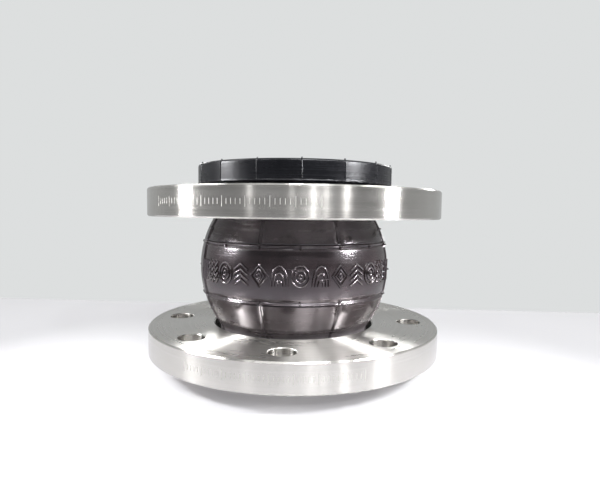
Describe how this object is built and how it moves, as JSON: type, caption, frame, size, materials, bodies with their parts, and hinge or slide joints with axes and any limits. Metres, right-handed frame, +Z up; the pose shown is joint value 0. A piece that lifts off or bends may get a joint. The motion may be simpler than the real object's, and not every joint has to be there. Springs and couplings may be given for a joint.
{
  "type": "flanged rubber expansion joint",
  "caption": "Single-sphere rubber expansion joint: a laminated rubber ball with beaded collars and a loose drilled steel flange on each neck.",
  "frame": {"origin": "centre of the lower sealing face, on the bore's axis", "axes": "+Z up the bore from the lower end to the upper end; -Y towards a bolt hole, the front; +X to the right seen from the front"},
  "size_m": [0.22, 0.22, 0.15],
  "materials": {
    "liner_rubber": "smooth moulded rubber",
    "middle_rubber": "plain rubber, hidden in the wall",
    "ply_cord": "rubbered nylon cord on the bias",
    "cover_rubber": "semi-gloss moulded rubber, black with a brown cast",
    "collar_rubber": "semi-gloss moulded rubber, blue-black",
    "bead_wire": "bronze-coated high-tensile wire",
    "bead_fabric": "rubbered square-woven fabric",
    "filler_rubber": "hard rubber, hidden in the collar",
    "flange_steel": "lathe-turned stainless steel"
  },
  "bodies": {
    "lower_end": {"lower_collar": "collar_rubber", "lower_bead_core": "bead_wire", "lower_bead_wrap": "bead_fabric", "lower_bead_filler": "filler_rubber"},
    "lower_flange": {"lower_flange": "flange_steel"},
    "lower_wall": {"inner_liner": "liner_rubber", "ply_1": "ply_cord", "ply_2": "ply_cord", "middle_rubber": "middle_rubber"},
    "upper_wall": {"ply_3": "ply_cord", "ply_4": "ply_cord", "outer_cover": "cover_rubber"},
    "upper_end": {"upper_collar": "collar_rubber", "upper_bead_core": "bead_wire", "upper_bead_wrap": "bead_fabric", "upper_bead_filler": "filler_rubber"},
    "upper_flange": {"upper_flange": "flange_steel"}
  },
  "joints": [
    {"name": "lower_flange_turn", "type": "hinge", "parent": "lower_end", "child": "lower_flange", "pos_m": [0, 0, 0.0215], "axis": [0, 0, 1], "continuous": true},
    {"name": "wall_shear", "type": "slide", "parent": "lower_end", "child": "lower_wall", "axis": [1, 0, 0], "range_m": [-0.013, 0.013], "stiffness_N_per_m": 100000, "deforming": ["inner_liner", "ply_1", "ply_2", "middle_rubber"]},
    {"name": "wall_stretch", "type": "slide", "parent": "lower_wall", "child": "upper_wall", "axis": [0, 0, 1], "range_m": [-0.018, 0.01], "stiffness_N_per_m": 80000, "deforming": ["ply_3", "ply_4", "outer_cover"]},
    {"name": "upper_end_tilt", "type": "hinge", "parent": "upper_wall", "child": "upper_end", "pos_m": [0, 0, 0.075], "axis": [0, 1, 0], "range_deg": [-15, 15], "stiffness_Nm_per_rad": 230},
    {"name": "upper_flange_slide", "type": "slide", "parent": "upper_end", "child": "upper_flange", "axis": [0, 0, 1], "range_m": [0, 0.0064]}
  ]
}
